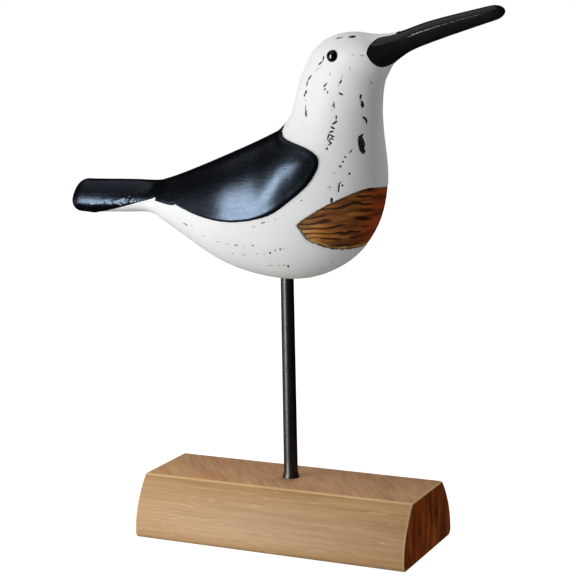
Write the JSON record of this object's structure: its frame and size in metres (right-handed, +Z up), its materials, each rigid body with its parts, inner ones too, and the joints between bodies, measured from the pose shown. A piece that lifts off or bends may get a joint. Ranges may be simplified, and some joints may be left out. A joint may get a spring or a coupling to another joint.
{
  "type": "wooden seagull statue",
  "caption": "Carved and painted wooden shore bird with a long upturned bill, held up by a slim black rod in a bevelled wooden block.",
  "frame": {"origin": "on the block's underside, on the axis of the rod", "axes": "+X towards the bill and along the block, +Y to the bird's left, +Z up"},
  "size_m": [0.263, 0.0746, 0.2982],
  "materials": {
    "painted_bird": "chipped matt white paint, satin black back, tail and bill, stained carved breast patches",
    "eye_bead": "polished black",
    "black_rod": "satin black paint",
    "oak_block": "oiled, lengthwise grain"
  },
  "bodies": {
    "root": {"bird": "painted_bird", "right_eye": "eye_bead", "left_eye": "eye_bead", "stand_rod": "black_rod", "base_block": "oak_block"}
  },
  "joints": []
}
